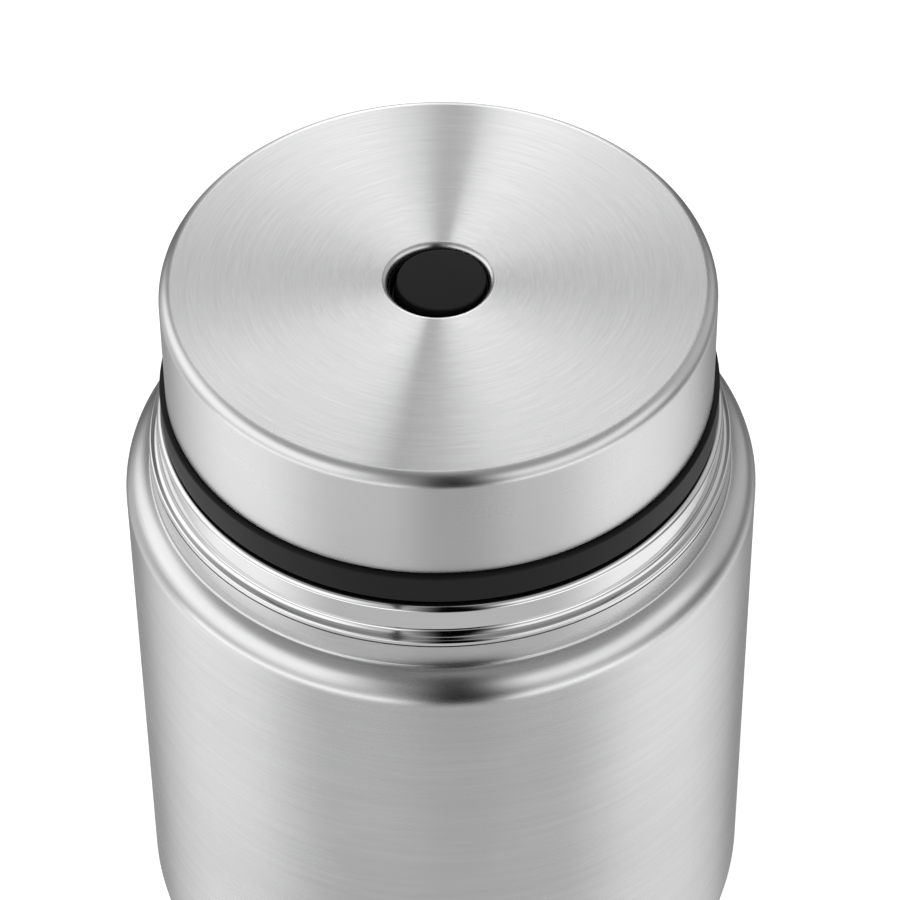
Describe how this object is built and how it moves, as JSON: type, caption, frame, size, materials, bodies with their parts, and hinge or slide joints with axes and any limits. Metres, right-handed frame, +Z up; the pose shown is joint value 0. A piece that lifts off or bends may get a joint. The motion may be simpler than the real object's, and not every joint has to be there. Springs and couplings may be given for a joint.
{
  "type": "vacuum food flask",
  "caption": "Round double-wall steel food flask with a wide mouth, a screw lid under a flat brushed cap, and a press-button valve in the lid's centre.",
  "frame": {"origin": "centre of the base, on the plane that the flask stands on", "axes": "+Z up along the flask's axis, through the button in the lid; -Y is the front"},
  "size_m": [0.1, 0.1, 0.14],
  "materials": {
    "shell_steel": "satin",
    "cap_steel": "satin",
    "polished_steel": "polished",
    "liner_steel": "satin",
    "copper_foil": "satin",
    "solder": "satin",
    "getter_alloy": "matte",
    "lid_plastic": "satin",
    "button_plastic": "satin",
    "inner_plastic": "satin",
    "silicone": "satin",
    "o_ring_rubber": "matte",
    "foam": "matte",
    "spring_steel": "gloss"
  },
  "bodies": {
    "vessel": {"outer_shell": "shell_steel", "neck_collar": "polished_steel", "inner_liner": "liner_steel", "radiation_foil": "copper_foil", "base_plate": "shell_steel", "base_cover": "cap_steel", "sealing_bead": "solder", "getter_holder": "liner_steel", "getter": "getter_alloy"},
    "lid_insert": {"insulation_disc": "foam"},
    "lid_seal": {"lid_gasket": "silicone"},
    "lid": {"lid_cap": "cap_steel", "lid_body": "lid_plastic", "lid_plug": "inner_plastic", "valve_housing": "lid_plastic", "housing_o_ring": "o_ring_rubber", "button_spring": "spring_steel"},
    "valve": {"push_button": "button_plastic", "valve_stem": "inner_plastic", "valve_seal": "silicone", "seal_retainer": "inner_plastic"}
  },
  "joints": [
    {"name": "lid_lift", "type": "slide", "parent": "vessel", "child": "lid_insert", "axis": [0, 0, 1], "range_m": [0, 0.06]},
    {"name": "lid_rise", "type": "slide", "parent": "lid_insert", "child": "lid_seal", "axis": [0, 0, 1], "range_m": [0, 0.0051]},
    {"name": "lid_turn", "type": "hinge", "parent": "lid_seal", "child": "lid", "pos_m": [0, 0, 0.12], "axis": [0, 0, 1], "range_deg": [0, 450]},
    {"name": "button_press", "type": "slide", "parent": "lid", "child": "valve", "axis": [0, 0, -1], "range_m": [0, 0.0025], "stiffness_N_per_m": 300, "springref_m": -0.003, "deforming": ["button_spring"]}
  ],
  "couplings": [
    {"joint": "lid_rise", "follows": "lid_turn", "m_per_rad": 0.00063662}
  ]
}
